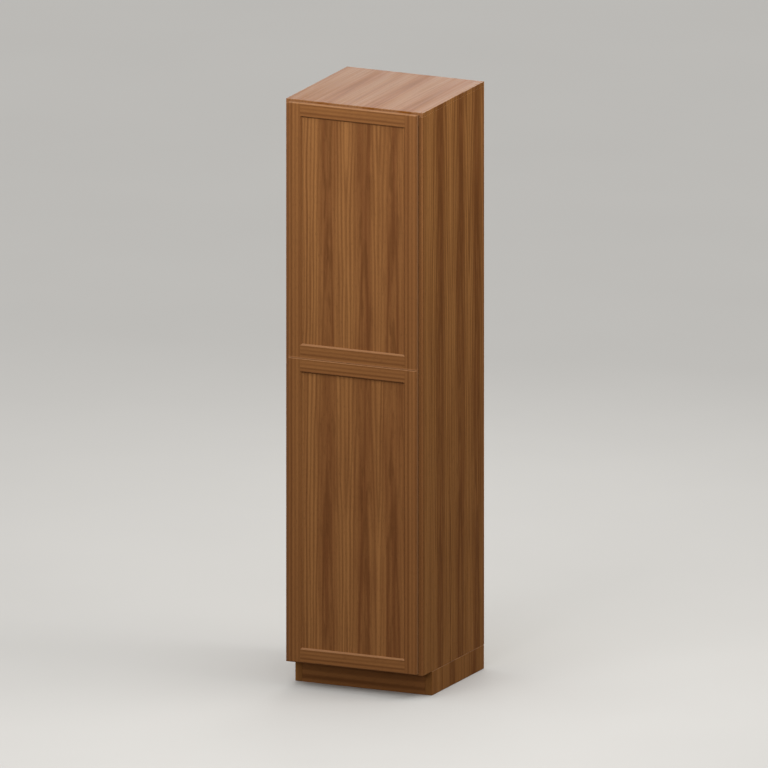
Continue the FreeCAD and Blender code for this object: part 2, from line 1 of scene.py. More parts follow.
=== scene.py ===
"""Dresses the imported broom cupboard: walnut outside, pale maple inside, nickelled hinges."""

import logging
from dataclasses import dataclass, replace
from enum import Enum, IntEnum
from math import cos, radians, sin
from typing import Callable, Union

import bpy
from mathutils import Euler, Matrix, Vector


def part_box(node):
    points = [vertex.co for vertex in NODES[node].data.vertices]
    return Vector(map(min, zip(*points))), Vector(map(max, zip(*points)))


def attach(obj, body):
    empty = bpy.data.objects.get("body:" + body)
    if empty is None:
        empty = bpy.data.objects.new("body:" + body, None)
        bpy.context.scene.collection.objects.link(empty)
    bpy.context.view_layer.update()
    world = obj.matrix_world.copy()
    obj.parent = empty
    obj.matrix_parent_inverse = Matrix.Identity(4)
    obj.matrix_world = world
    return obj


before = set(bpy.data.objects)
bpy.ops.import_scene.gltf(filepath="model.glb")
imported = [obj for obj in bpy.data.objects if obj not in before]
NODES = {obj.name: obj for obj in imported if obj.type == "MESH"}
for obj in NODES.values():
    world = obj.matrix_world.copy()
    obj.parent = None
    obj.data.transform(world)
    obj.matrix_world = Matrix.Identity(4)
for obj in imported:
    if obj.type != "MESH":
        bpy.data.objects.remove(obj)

LOG = logging.getLogger("broom_cupboard")
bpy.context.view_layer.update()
MM_PER_M = 1000.0
# Nearly all values of a noise lie in its range, and most of them in its core.
NOISE_RANGE = {"From Min": 0.25, "From Max": 0.75}
NOISE_CORE = {"From Min": 0.3, "From Max": 0.7}
# Least part of a face's normal in one direction that makes it face that way.
FACING = 0.5
# Least upward part of a face's normal that makes it a ledge.
LEDGE = 0.3

Source = Union[bpy.types.Node, bpy.types.NodeSocket, float, tuple, Vector, Euler]
Hearts = tuple[tuple[float, float], ...]
Place = tuple[float, float, float]


def to_linear(colour: str) -> tuple[float, float, float, float]:
    """Turns an sRGB hex colour into linear RGBA.

    Args:
        colour: Six hex digits after a hash.

    Returns:
        Red, green, blue and an alpha of one.
    """
    knee, slope, offset, power = 0.04045, 12.92, 0.055, 2.4
    shares = (int(colour[start:start + 2], 16) / 255 for start in (1, 3, 5))
    red, green, blue = (
        share / slope if share <= knee else ((share + offset) / (1 + offset)) ** power
        for share in shares
    )
    return red, green, blue, 1.0


def add_node(
    tree: bpy.types.NodeTree, kind: str, inputs: dict[str | int, Source], **settings: object
) -> bpy.types.Node:
    """Adds one node, sets its properties and sets or links its inputs.

    Args:
        tree: The node tree to add to.
        kind: The node's type name.
        inputs: A value, a socket or a node for each input, by name or number.
        **settings: Properties of the node itself.

    Returns:
        The new node.
    """
    node = tree.nodes.new(kind)
    for name, setting in settings.items():
        setattr(node, name, setting)
    for key, source in inputs.items():
        if isinstance(key, int):
            socket = node.inputs[key]
        else:
            socket = next(item for item in node.inputs if item.enabled and item.name == key)
        if isinstance(source, bpy.types.Node):
            source = next(item for item in source.outputs if item.enabled)
        if isinstance(source, bpy.types.NodeSocket):
            tree.links.new(source, socket)
        else:
            socket.default_value = source
    return node


def new_material(name: str) -> tuple[bpy.types.Material, bpy.types.NodeTree]:
    """Makes an empty node material.

    Args:
        name: The material's name.

    Returns:
        The material and its empty tree.
    """
    made = bpy.data.materials.new(name)
    made.use_nodes = True
    made.node_tree.nodes.clear()
    return made, made.node_tree


class Lay(Enum):
    """How a board lies: the ways across its face, through its thickness and along its grain."""

    FRONT_UPRIGHT = ((1, 0, 0), (0, 1, 0), (0, 0, 1))
    FRONT_LEVEL = ((0, 0, 1), (0, 1, 0), (-1, 0, 0))
    SIDE_UPRIGHT = ((0, 1, 0), (-1, 0, 0), (0, 0, 1))
    TOP_BACKWARD = ((1, 0, 0), (0, 0, -1), (0, 1, 0))
    SHELF_LEVEL = ((0, 1, 0), (0, 0, 1), (1, 0, 0))

    @property
    def turn(self) -> Matrix:
        """The rotation that brings a board's grain upright and its face to the front."""
        return Matrix(self.value)


class TopSlot(IntEnum):
    """The material slots of the top panel."""

    UPPER = 0
    UNDER = 1
    LEFT_END = 2
    RIGHT_END = 3


@dataclass(frozen=True)
class Figure:
    """Where a board was cut from its log, in millimetres from the board's middle.

    Attributes:
        lay: How the board lies in the cupboard.
        hearts: Middle across the face, and depth behind it, of each piece of arched figure; none
            on a straight-grained board.
        first_line: One pale line across the face, which sets where the others fall.
        slice_number: Tells boards of one log apart.
        highlight_level: Height in metres of a band of painted highlight along the board, if any.
    """

    lay: Lay
    hearts: Hearts = ()
    first_line: float = 0.0
    slice_number: int = 0
    highlight_level: float | None = None


@dataclass(frozen=True)
class Streaks:
    """A cloudy pattern drawn out along the grain, sizes in millimetres.

    Attributes:
        wide: Width of one streak.
        long: Its length along the grain.
        detail: How many times finer streaks lie in it.
        rough: How strong each finer streak is beside the coarser one.
    """

    wide: float
    long: float
    detail: float = 2.0
    rough: float = 0.5

    def draw(self, tree: bpy.types.NodeTree, board: Source) -> bpy.types.Node:
        """Draws the streaks on a board.

        Args:
            tree: The material's tree.
            board: The board's millimetres.

        Returns:
            The pattern, from nought to one.
        """
        places = add_node(tree, "ShaderNodeMapping", {
            "Vector": board, "Scale": (1 / self.wide, 1 / self.wide, 1 / self.long)})
        return add_node(tree, "ShaderNodeTexNoise", {
            "Vector": places, "Scale": 1.0, "Detail": self.detail, "Roughness": self.rough})


@dataclass(frozen=True)
class Timber:
    """A planed and finished wood: colours, and sizes of its figure in millimetres.

    Attributes:
        name: The wood's common name.
        pale: Colour of the sapwood streaks.
        heart: Colour of the heartwood between them.
        line: Colour of the growth lines.
        pore: Colour of the open pores.
        line_pitch: Distance between growth lines on straight-grained boards.
        ring_pitch: Distance between growth rings in the log.
        line_share: How far a growth line goes to its colour on straight-grained boards.
        ring_share: How far it goes there on flat-cut boards.
        pore_share: How far a pore goes to its colour.
        sway: How far the lines of flat-cut boards wander to each side.
        smooth: Roughness of the finish over pale fibres.
        dull: Its roughness over dark fibres.
        gloss: Strength of the finish's reflections.
        ior: Refractive index of the finish.
        straight_sway: How far the lines of straight-grained boards wander to each side.
        taper: How much deeper the middle of the log lies for each millimetre along a board.
        heart_core: Half the width of the dark heart.
        heart_reach: Half the width at which the wood is fully pale.
        heart_blend: How far neighbouring hearts run into each other.
        heart_tones: Share of pale wood in the heart and outside it, before clouds are added.
        cloud_share: How much pale wood the strongest cloud adds.
        straight_tones: Least and greatest share of pale wood on straight-grained boards.
        ring_wobble: How far growth rings leave the round.
        fibre_share: How far single fibres vary the share of pale wood on flat-cut boards.
        season_share: How far good and poor years do.
        season_swing: How far good and poor years vary the strength of growth lines there.
        season_rate: How many of their swings fall on one growth line.
        season_detail: How many times finer swings lie in those.
        calm: What part of both shares and of the swing is left on straight-grained boards.
        line_edges: Where a growth line begins and where it is full, in pitches from the middle of
            the pale wood beside it.
        fleck_share: How far the dark flecks of the heart go to the colour of the growth lines.
        fleck_edges: Where in its pattern a fleck begins and where it is full.
        pore_edges: Where in its pattern a pore begins and where it is full.
        pore_relief: Strength of the dip in the finish over a pore.
        pore_depth: Depth of that dip, in metres.
        joint_highlight: Colour of a band of painted highlight along a level.
        joint_highlight_share: How far the band goes to that colour.
        joint_highlight_core: How far from its level it does so in full.
        joint_highlight_reach: How far from that level the wood has its own colour again.
        slice_step: Distance between two slices in the log.
        wander: Streaks that sway the growth lines.
        clouds: Broad tones of flat-cut boards.
        bands: Broad tones of straight-grained boards.
        wobble: Streaks that wobble the growth rings.
        flecks: Dark flecks of the heart.
        fibres: Bundles of fibres.
        pores: Open pores.
    """

    name: str
    pale: str
    heart: str
    line: str
    pore: str
    line_pitch: float
    ring_pitch: float
    line_share: float
    ring_share: float
    pore_share: float
    sway: float
    smooth: float
    dull: float
    gloss: float = 0.08
    ior: float = 1.45
    straight_sway: float = 1.0
    taper: float = 0.03
    heart_core: float = 12.0
    heart_reach: float = 62.0
    heart_blend: float = 20.0
    heart_tones: tuple[float, float] = (-0.26, 0.44)
    cloud_share: float = 0.8
    straight_tones: tuple[float, float] = (0.43, 0.59)
    ring_wobble: float = 20.0
    fibre_share: float = 0.36
    season_share: float = 0.24
    season_swing: float = 0.8
    season_rate: float = 0.45
    season_detail: float = 1.0
    calm: float = 0.45
    line_edges: tuple[float, float] = (0.08, 0.5)
    fleck_share: float = 0.6
    fleck_edges: tuple[float, float] = (0.5, 0.66)
    pore_edges: tuple[float, float] = (0.58, 0.7)
    pore_relief: float = 0.25
    pore_depth: float = 0.0002
    joint_highlight: str = "#B07B50"
    joint_highlight_share: float = 0.62
    joint_highlight_core: float = 0.5
    joint_highlight_reach: float = 6.0
    slice_step: float = 500.0
    wander: Streaks = Streaks(170.0, 700.0)
    clouds: Streaks = Streaks(50.0, 400.0)
    bands: Streaks = Streaks(40.0, 1500.0)
    wobble: Streaks = Streaks(55.0, 450.0)
    flecks: Streaks = Streaks(16.0, 150.0)
    # Fibres and pores are too fine to show in the render, so they are drawn as coarse as they need.
    fibres: Streaks = Streaks(10.0, 600.0, 3.0, 0.55)
    pores: Streaks = Streaks(1.1, 22.0)

    def cut(self, node: str, figure: Figure) -> bpy.types.Material:
        """Makes the material of one board, with the figure centred on it.

        Args:
            node: The board's node.
            figure: Where the board was cut.

        Returns:
            The material.
        """
        made, tree = new_material(f"{self.name}_{node}")
        low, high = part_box(node)
        turn = figure.lay.turn
        shift = turn @ ((low + high) / -2 * MM_PER_M)
        shift.y += self.slice_step * figure.slice_number
        places = add_node(tree, "ShaderNodeTexCoord", {}).outputs["Object"]
        board = add_node(tree, "ShaderNodeMapping", {
            "Vector": places, "Location": shift, "Rotation": turn.to_euler(),
            "Scale": (MM_PER_M,) * 3})
        ways = add_node(tree, "ShaderNodeSeparateXYZ", {"Vector": board})
        sway = self.sway if figure.hearts else self.straight_sway
        across = add_node(tree, "ShaderNodeMath", {
            0: self.wander.draw(tree, board), 1: 2 * sway, 2: ways.outputs["X"],
        }, operation="MULTIPLY_ADD")
        across = add_node(tree, "ShaderNodeMath", {0: across, 1: sway}, operation="SUBTRACT")
        if figure.hearts:
            tone, rings, flecks = self.arches(
                tree, board, across, ways.outputs["Z"], figure.hearts)
            share, life = self.ring_share, 1.0
        else:
            tone, rings, flecks = self.straight(tree, board, across, figure.first_line)
            share, life = self.line_share, self.calm
        colour, fibre, pores = self.grain(tree, board, tone, rings, flecks, share, life)
        # A board with such a level gets a pale band of painted highlight there.
        if figure.highlight_level is not None:
            colour = self.paint_highlight_band(tree, places, colour, figure.highlight_level)
        self.coat(tree, colour, fibre, pores)
        return made

    def arches(
        self, tree: bpy.types.NodeTree, board: Source, across: Source, along: Source,
        hearts: Hearts
    ) -> tuple[Source, Source, Source]:
        """Draws flat-cut figure: growth rings met by a plane near the middle of the log.

        Args:
            tree: The material's tree.
            board: The board's millimetres.
            across: Millimetres across the face, with their wander.
            along: Millimetres along the grain.
            hearts: Middle and depth of each piece of arched figure.

        Returns:
            The share of pale wood, the growth line count and the flecks of the heart.
        """
        nearest = None
        radius = None
        for middle, behind in hearts:
            offset = add_node(tree, "ShaderNodeMath", {0: across, 1: middle}, operation="SUBTRACT")
            depth = add_node(tree, "ShaderNodeMath", {
                0: along, 1: self.taper, 2: behind}, operation="MULTIPLY_ADD")
            spot = add_node(tree, "ShaderNodeCombineXYZ", {"X": offset, "Y": depth})
            ring = add_node(tree, "ShaderNodeVectorMath", {"Vector": spot}, operation="LENGTH")
            reach = add_node(tree, "ShaderNodeMath", {0: offset}, operation="ABSOLUTE")
            if nearest is None:
                nearest, radius = reach, ring.outputs["Value"]
                continue
            nearest = add_node(tree, "ShaderNodeMath", {
                0: nearest, 1: reach, 2: self.heart_blend}, operation="SMOOTH_MIN")
            radius = add_node(tree, "ShaderNodeMath", {
                0: radius, 1: ring.outputs["Value"], 2: self.heart_blend}, operation="SMOOTH_MIN")
        zone = {"Value": nearest, "From Min": self.heart_core, "From Max": self.heart_reach}
        inner, outer = self.heart_tones
        tone = add_node(tree, "ShaderNodeMapRange", {
            **zone, "To Min": inner, "To Max": outer}, interpolation_type="SMOOTHSTEP")
        tone = add_node(tree, "ShaderNodeMath", {
            0: self.clouds.draw(tree, board), 1: self.cloud_share, 2: tone,
        }, operation="MULTIPLY_ADD")
        radius = add_node(tree, "ShaderNodeMath", {
            0: self.wobble.draw(tree, board), 1: self.ring_wobble, 2: radius,
        }, operation="MULTIPLY_ADD")
        rings = add_node(tree, "ShaderNodeMath", {
            0: radius, 1: self.ring_pitch}, operation="DIVIDE")
        strongest = add_node(tree, "ShaderNodeMapRange", {
            **zone, "To Min": self.fleck_share, "To Max": 0.0})
        begin, full = self.fleck_edges
        flecks = add_node(tree, "ShaderNodeMapRange", {
            "Value": self.flecks.draw(tree, board), "From Min": begin, "From Max": full,
            "To Max": strongest})
        return tone, rings, flecks

    def straight(
        self, tree: bpy.types.NodeTree, board: Source, across: Source, first_line: float
    ) -> tuple[Source, Source, Source]:
        """Draws quarter-cut figure: even lines along the board.

        Args:
            tree: The material's tree.
            board: The board's millimetres.
            across: Millimetres across the face, with their wander.
            first_line: Where one pale line lies.

        Returns:
            The share of pale wood, the growth line count, and nought for the flecks it lacks.
        """
        least, most = self.straight_tones
        tone = add_node(tree, "ShaderNodeMapRange", {
            "Value": self.bands.draw(tree, board), **NOISE_CORE, "To Min": least, "To Max": most})
        offset = add_node(tree, "ShaderNodeMath", {
            0: across, 1: first_line}, operation="SUBTRACT")
        rings = add_node(tree, "ShaderNodeMath", {
            0: offset, 1: self.line_pitch}, operation="DIVIDE")
        return tone, rings, 0.0

    def grain(
        self, tree: bpy.types.NodeTree, board: Source, tone: Source, rings: Source,
        flecks: Source, share: float, life: float
    ) -> tuple[Source, Source, Source]:
        """Lays growth lines, fibres and pores over the broad tones of the wood.

        Args:
            tree: The material's tree.
            board: The board's millimetres.
            tone: The share of pale wood.
            rings: The growth line count.
            flecks: The flecks of the heart.
            share: How far a growth line goes to its colour.
            life: How lively fibres and years are, one being the most.

        Returns:
            The colour, the fibres and the pores.
        """
        fibre = self.fibres.draw(tree, board)
        begin, full = self.pore_edges
        pores = add_node(tree, "ShaderNodeMapRange", {
            "Value": self.pores.draw(tree, board), "From Min": begin, "From Max": full,
            "To Max": self.pore_share})
        season = add_node(tree, "ShaderNodeTexNoise", {
            "W": rings, "Scale": self.season_rate, "Detail": self.season_detail,
        }, noise_dimensions="1D")
        swing = self.season_swing * life
        strength = add_node(tree, "ShaderNodeMapRange", {
            "Value": season, **NOISE_RANGE,
            "To Min": (1 + swing) * share, "To Max": (1 - swing) * share})
        # The count is folded: nought in the middle of pale wood, a half in the middle of a line.
        line = add_node(tree, "ShaderNodeMath", {0: rings, 1: 0.5}, operation="PINGPONG")
        begin, full = self.line_edges
        line = add_node(tree, "ShaderNodeMapRange", {
            "Value": line, "From Min": begin, "From Max": full, "To Max": strength,
        }, interpolation_type="SMOOTHSTEP")
        line = add_node(tree, "ShaderNodeMath", {0: line, 1: flecks}, operation="MAXIMUM")
        for pattern, part in ((fibre, self.fibre_share), (season, self.season_share)):
            shade = add_node(tree, "ShaderNodeMapRange", {
                "Value": pattern, **NOISE_RANGE, "To Min": -part * life, "To Max": part * life})
            tone = add_node(tree, "ShaderNodeMath", {0: tone, 1: shade}, operation="ADD")
        tone.use_clamp = True
        colour = add_node(tree, "ShaderNodeMix", {
            "Factor": tone, "A": to_linear(self.heart), "B": to_linear(self.pale),
        }, data_type="RGBA")
        for cover, tint in ((line, self.line), (pores, self.pore)):
            colour = add_node(tree, "ShaderNodeMix", {
                "Factor": cover, "A": colour, "B": to_linear(tint)}, data_type="RGBA")
        return colour, fibre, pores

    def paint_highlight_band(
        self, tree: bpy.types.NodeTree, places: Source, colour: Source, level: float
    ) -> bpy.types.Node:
        """Paints a pale band along a level: a band of painted highlight.

        Args:
            tree: The material's tree.
            places: The object's own coordinates.
            colour: The wood's colour outside the band.
            level: Height of the band's middle, in metres.

        Returns:
            The colour with the painted highlight in it.
        """
        ways = add_node(tree, "ShaderNodeSeparateXYZ", {"Vector": places})
        away = add_node(tree, "ShaderNodeMath", {
            0: ways.outputs["Z"], 1: level}, operation="SUBTRACT")
        away = add_node(tree, "ShaderNodeMath", {0: away}, operation="ABSOLUTE")
        share = add_node(tree, "ShaderNodeMapRange", {
            "Value": away, "From Min": self.joint_highlight_core / MM_PER_M,
            "From Max": self.joint_highlight_reach / MM_PER_M, "To Min": self.joint_highlight_share, "To Max": 0.0})
        return add_node(tree, "ShaderNodeMix", {
            "Factor": share, "A": colour, "B": to_linear(self.joint_highlight)}, data_type="RGBA")

    def coat(
        self, tree: bpy.types.NodeTree, colour: Source, fibre: Source, pores: Source
    ) -> None:
        """Coats the wood with a thin finish that follows its fibres and pores.

        Args:
            tree: The material's tree.
            colour: The wood's colour.
            fibre: Its fibres.
            pores: Its pores.
        """
        sheen = add_node(tree, "ShaderNodeMapRange", {
            "Value": fibre, **NOISE_CORE, "To Min": self.dull, "To Max": self.smooth})
        relief = add_node(tree, "ShaderNodeBump", {
            "Height": pores, "Strength": self.pore_relief, "Distance": self.pore_depth,
        }, invert=True)
        wood = add_node(tree, "ShaderNodeBsdfPrincipled", {
            "Base Color": colour, "Roughness": sheen, "IOR": self.ior,
            "Specular IOR Level": self.gloss, "Normal": relief})
        add_node(tree, "ShaderNodeOutputMaterial", {"Surface": wood})


# Black walnut veneer and solid walnut under satin lacquer: warm mid brown, pale and dark streaks
# along the grain, growth lines drawn about 17 mm apart, as coarse as the photograph shows them.
WALNUT = Timber(
    name="walnut", pale="#97673B", heart="#714525", line="#5F391C", pore="#3A2212",
    line_pitch=17.0, ring_pitch=14.0, line_share=0.5, ring_share=0.42, pore_share=0.4, sway=4.0,
    smooth=0.42, dull=0.52)

# The same walnut on the cupboard's sides, with a matt oil finish in place of the lacquer.
WALNUT_VENEER = replace(
    WALNUT, name="walnut_veneer", pale="#976739", heart="#714523", line="#5F391A", gloss=0.01)

# A paler, coarser walnut board for the toe board, whose lines lie about twice as far apart.
WALNUT_PLANK = replace(
    WALNUT, name="walnut_plank", pale="#9E6A3B", heart="#764725", line="#633B1C", line_pitch=32.4)

# The same walnut on ledges and free edges, paler as painted highlight, with more sheen.
WALNUT_PAINTED_HIGHLIGHT = replace(
    WALNUT, name="walnut_painted_highlight", pale="#A4764C", heart="#80583C", line="#704D31", gloss=0.14)

# The top's veneer: its own colours and the same streaks with softer lines.
WALNUT_TOP = replace(
    WALNUT, name="walnut_top", pale="#906644", heart="#7D4A19", ring_share=0.2, fibre_share=0.28,
    season_share=0.16, fleck_share=0.08)

# Hard maple veneer, clear lacquered: creamy, nearly even, with faint growth lines and tiny pores.
MAPLE = Timber(
    name="maple", pale="#DDC6A0", heart="#D2B78D", line="#C4A577", pore="#A98A60",
    line_pitch=24.0, ring_pitch=20.0, line_share=0.3, ring_share=0.3, pore_share=0.25, sway=8.0,
    smooth=0.45, dull=0.55)

# Turned beech dowel: pinkish tan with short darker flecks.
BEECH = Timber(
    name="beech", pale="#D2A97E", heart="#C4976B", line="#B5875B", pore="#8F6440",
    line_pitch=4.0, ring_pitch=4.0, line_share=0.4, ring_share=0.4, pore_share=0.4, sway=1.0,
    smooth=0.5, dull=0.6)


@dataclass(frozen=True)
class NickelSteel:
    """Nickel-plated pressed steel: a bright, slightly warm metal with a fine tumbled haze.

    Attributes:
        colour: Colour of the clear plating.
        stain: Colour of the hazy plating.
        haze_mm: Size of one patch of haze, in millimetres.
        haze_detail: How many times finer haze lies in it.
        smooth: Roughness of the clear plating.
        dull: Roughness of the hazy plating.
    """

    colour: str = "#C9C5BD"
    stain: str = "#A9A59C"
    haze_mm: float = 6.0
    haze_detail: float = 4.0
    smooth: float = 0.22
    dull: float = 0.36

    def material(self) -> bpy.types.Material:
        """Makes the metal, with a cloudy haze in its colour and gloss.

        Returns:
            The material.
        """
        made, tree = new_material("nickel_plated_steel")
        places = add_node(tree, "ShaderNodeTexCoord", {})
        haze = add_node(tree, "ShaderNodeTexNoise", {
            "Vector": places.outputs["Object"], "Scale": MM_PER_M / self.haze_mm,
            "Detail": self.haze_detail})
        colour = add_node(tree, "ShaderNodeMix", {
            "Factor": haze, "A": to_linear(self.stain), "B": to_linear(self.colour),
        }, data_type="RGBA")
        sheen = add_node(tree, "ShaderNodeMapRange", {
            "Value": haze, **NOISE_CORE, "To Min": self.dull, "To Max": self.smooth})
        plating = add_node(tree, "ShaderNodeBsdfPrincipled", {
            "Base Color": colour, "Roughness": sheen, "Metallic": 1.0})
        add_node(tree, "ShaderNodeOutputMaterial", {"Surface": plating})
        return made


@dataclass(frozen=True)
class GreyRubber:
    """Moulded polyurethane bumper: cloudy grey, soft sheen, a faint mould grain.

    Attributes:
        colour: Colour of the grain's high spots.
        shade: Colour of its low spots.
        grain_mm: Size of one grain in millimetres, drawn as coarse as it needs to show.
        rough: Roughness of the rubber.
        ior: Its refractive index.
        grain_relief: Strength of the grain's relief.
        grain_depth: Depth of the grain, in metres.
    """

    colour: str = "#B9B7B2"
    shade: str = "#A6A49F"
    grain_mm: float = 0.8
    rough: float = 0.55
    ior: float = 1.5
    grain_relief: float = 0.2
    grain_depth: float = 0.0001

    def material(self) -> bpy.types.Material:
        """Makes the rubber, with its grain in colour and relief.

        Returns:
            The material.
        """
        made, tree = new_material("polyurethane_rubber")
        places = add_node(tree, "ShaderNodeTexCoord", {})
        grain = add_node(tree, "ShaderNodeTexNoise", {
            "Vector": places.outputs["Object"], "Scale": MM_PER_M / self.grain_mm})
        colour = add_node(tree, "ShaderNodeMix", {
            "Factor": grain, "A": to_linear(self.shade), "B": to_linear(self.colour),
        }, data_type="RGBA")
        relief = add_node(tree, "ShaderNodeBump", {
            "Height": grain, "Strength": self.grain_relief, "Distance": self.grain_depth})
        rubber = add_node(tree, "ShaderNodeBsdfPrincipled", {
            "Base Color": colour, "Roughness": self.rough, "IOR": self.ior, "Normal": relief})
        add_node(tree, "ShaderNodeOutputMaterial", {"Surface": rubber})
        return made


def dress(node: str, *materials: bpy.types.Material) -> None:
    """Gives a node its materials in order.

    Args:
        node: The node's name.
        *materials: The material of each slot.
    """
    slots = NODES[node].data.materials
    slots.clear()
    for material in materials:
        slots.append(material)
    LOG.info("dressed %s in %s", node, ", ".join(material.name for material in materials))


def share_faces(node: str, choose: Callable[[bpy.types.MeshPolygon], int]) -> None:
    """Puts each face of a node on one of its materials.

    Args:
        node: The node's name.
        choose: Gives the number of a face's material.
    """
    for face in NODES[node].data.polygons:
        face.material_index = choose(face)


@dataclass
class Plinth:
    """The recessed base: walnut where it shows, plain maple behind.

    Attributes:
        side_hearts: Middle and depth of the sides' arches, in millimetres.
        toe_line: One pale line of the toe board, in millimetres from its middle.
        toe_slice: Which slice of the log the toe board comes from.
    """

    side_hearts: Hearts = ((-60.0, 22.0), (150.0, 30.0))
    toe_line: float = -11.0
    toe_slice: int = 3

    def dress(self) -> None:
        """Dresses the base's five boards."""
        for number, side in enumerate(("plinth_left_side", "plinth_right_side")):
            figure = Figure(Lay.SIDE_UPRIGHT, self.side_hearts, slice_number=number)
            # Their upward faces take the paler walnut, a painted highlight along their top edge.
            dress(side, *(wood.cut(side, figure) for wood in (WALNUT_VENEER, WALNUT_PAINTED_HIGHLIGHT)))
            share_faces(side, lambda face: int(face.normal.z > LEDGE))
        toe = Figure(Lay.FRONT_LEVEL, first_line=self.toe_line, slice_number=self.toe_slice)
        dress("toe_kick_board", WALNUT_PLANK.cut("toe_kick_board", toe))
        for number, rail in enumerate(("plinth_stretcher", "plinth_back_rail")):
            dress(rail, MAPLE.cut(rail, Figure(Lay.FRONT_LEVEL, slice_number=number)))


@dataclass
class Box:
    """Sides, top, deck, fixed shelf, back and hanging rails.

    Attributes:
        side_hearts: Middle and depth of the arches on the sides' outside, in millimetres.
        inside_hearts: Those on the sides' inside.
        top_hearts: Those on the top.
        under_hearts: Those on the top's underside.
        shelf_hearts: Those of the deck and the fixed shelf.
        back_hearts: Those of the back panel.
        top_slice: Which slice of the log the top comes from.
        back_slice: Which slice the back panel comes from.
        first_rail_slice: Which slice the lowest hanging rail comes from.
    """

    side_hearts: Hearts = ((-140.0, 44.0), (58.0, 41.0), (218.0, 47.0))
    inside_hearts: Hearts = ((-150.0, 42.0), (120.0, 47.0))
    top_hearts: Hearts = ((-140.0, 22.0), (62.0, 19.0), (224.0, 25.0))
    under_hearts: Hearts = ((-60.0, 20.0), (170.0, 24.0))
    shelf_hearts: Hearts = ((-170.0, 20.0), (90.0, 26.0))
    back_hearts: Hearts = ((-190.0, 44.0), (10.0, 48.0), (200.0, 45.0))
    top_slice: int = 2
    back_slice: int = 5
    first_rail_slice: int = 7

    def dress(self) -> None:
        """Dresses the outside in walnut and the inside in maple."""
        ends: list[bpy.types.Material] = []
        for number, (hand, outward) in enumerate((("left", -1), ("right", 1))):
            side = f"{hand}_side_panel"
            outside, inside = (
                wood.cut(side, Figure(Lay.SIDE_UPRIGHT, hearts, slice_number=number))
                for wood, hearts in (
                    (WALNUT_VENEER, self.side_hearts), (MAPLE, self.inside_hearts)))
            dress(side, outside, inside)
            share_faces(side, lambda face, way=outward: int(face.normal.x * way < FACING))
            ends.append(outside)
        top = "top_panel"
        upper, under = (
            wood.cut(top, Figure(Lay.TOP_BACKWARD, hearts, slice_number=self.top_slice))
            for wood, hearts in ((WALNUT_TOP, self.top_hearts), (MAPLE, self.under_hearts)))
        dress(top, upper, under, *ends)
        share_faces(top, self.top_slot)
        for number, shelf in enumerate(("deck_panel", "middle_shelf")):
            figure = Figure(Lay.SHELF_LEVEL, self.shelf_hearts, slice_number=number)
            dress(shelf, MAPLE.cut(shelf, figure))
        back = Figure(Lay.FRONT_UPRIGHT, self.back_hearts, slice_number=self.back_slice)
        dress("back_panel", MAPLE.cut("back_panel", back))
        for number, level in enumerate(("bottom", "middle", "top"), self.first_rail_slice):
            rail = f"{level}_hanging_rail"
            dress(rail, MAPLE.cut(rail, Figure(Lay.FRONT_LEVEL, slice_number=number)))

    @staticmethod
    def top_slot(face: bpy.types.MeshPolygon) -> TopSlot:
        """Tells the faces of the top apart by their normals.

        Args:
            face: One face of the top.

        Returns:
            The slot of its material.
        """
        if face.normal.z < -FACING:
            return TopSlot.UNDER
        if abs(face.normal.x) > FACING:
            return TopSlot.LEFT_END if face.normal.x < 0 else TopSlot.RIGHT_END
        return TopSlot.UPPER


@dataclass
class FaceFrame:
    """Two stiles and three rails of solid walnut with beech dowels.

    Attributes:
        first_line: One pale line of each member, in millimetres from its middle.
        first_rail_slice: Which slice of the log the lowest rail comes from.
    """

    first_line: float = 0.3
    first_rail_slice: int = 2

    def dress(self) -> None:
        """Dresses the stiles, their edges matt like the sides, the rails and the dowels."""
        cuts = ((WALNUT, Lay.FRONT_UPRIGHT), (WALNUT_VENEER, Lay.SIDE_UPRIGHT))
        for number, hand in enumerate(("left", "right")):
            stile = f"frame_{hand}_stile"
            dress(stile, *(
                wood.cut(stile, Figure(lay, (), self.first_line, number)) for wood, lay in cuts))
            share_faces(stile, lambda face: int(abs(face.normal.x) > FACING))
        for number, level in enumerate(("bottom", "middle", "top"), self.first_rail_slice):
            rail = f"frame_{level}_rail"
            figure = Figure(Lay.FRONT_LEVEL, (), self.first_line, number)
            dress(rail, WALNUT.cut(rail, figure))
        dress("frame_dowels", BEECH.cut("frame_dowels", Figure(Lay.FRONT_LEVEL)))


